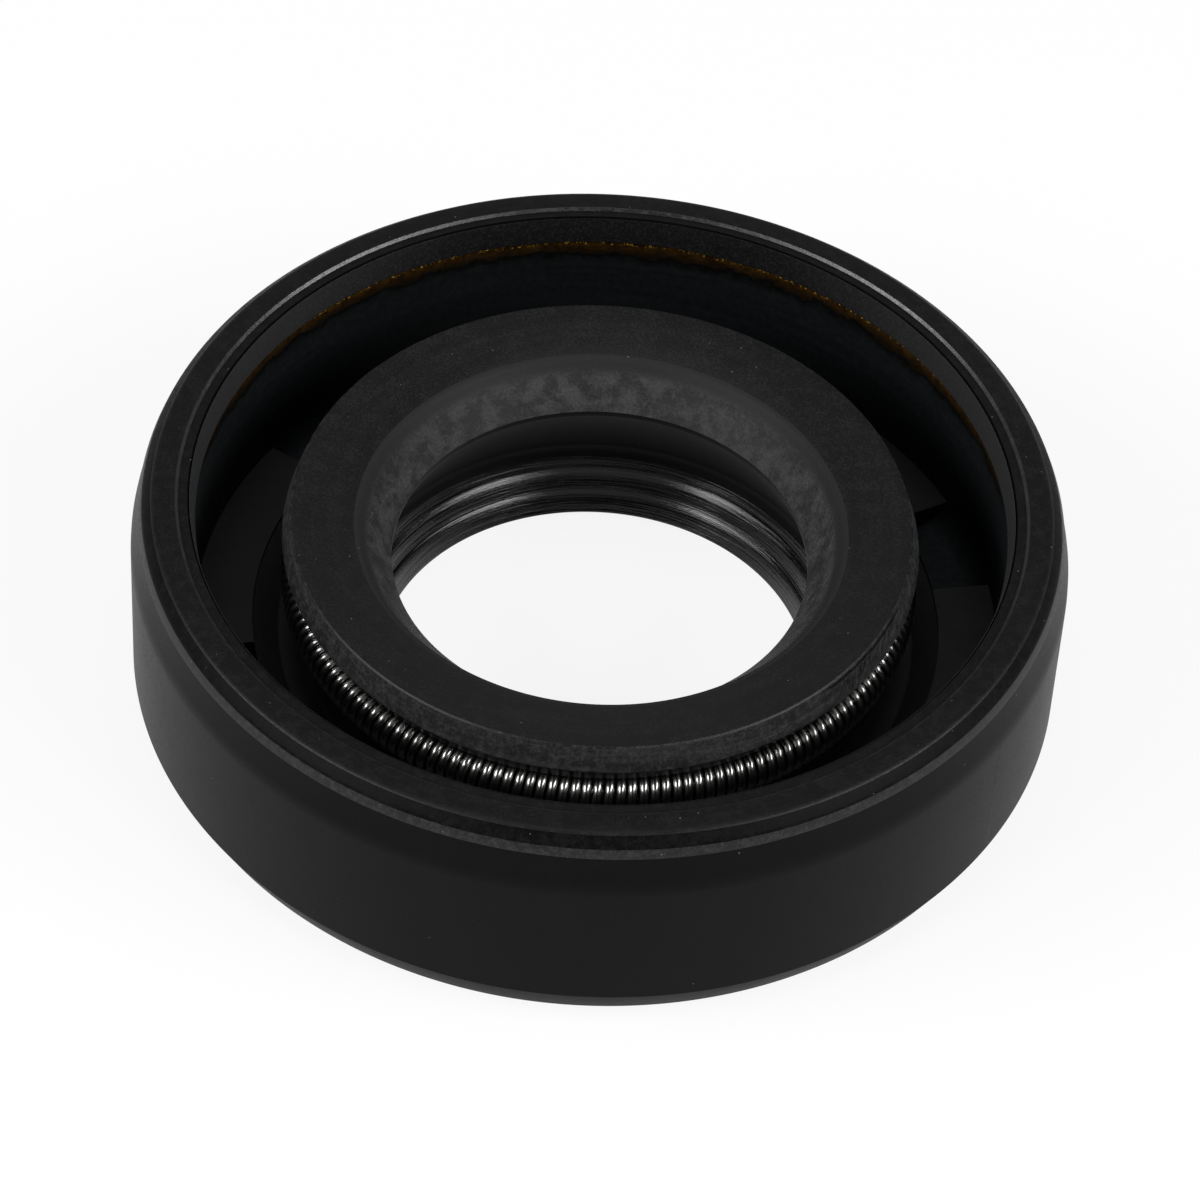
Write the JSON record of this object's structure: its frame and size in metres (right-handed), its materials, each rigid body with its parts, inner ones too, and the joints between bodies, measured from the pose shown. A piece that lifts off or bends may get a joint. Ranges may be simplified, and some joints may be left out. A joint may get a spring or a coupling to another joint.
{
  "type": "radial shaft seal",
  "caption": "Rubber-covered radial shaft seal with an L-shaped steel case, a spring-loaded main lip and a dust lip, lying on its back with the oil side up.",
  "frame": {"origin": "centre of the back face (air side), on the shaft's axis", "axes": "+Z along the shaft's axis, from the air side to the oil side, where the garter spring is; +X and +Y square to it, with +X to the right"},
  "size_m": [0.0252, 0.0252, 0.0068],
  "materials": {
    "rubber": "moulded, semi-matte, with a trimmed matte lip face",
    "case_steel": "phosphated steel, with an amber edge of bonding agent",
    "spring_steel": "bright drawn wire"
  },
  "bodies": {
    "root": {"rubber_body": "rubber", "metal_case": "case_steel", "garter_spring": "spring_steel"}
  },
  "joints": []
}
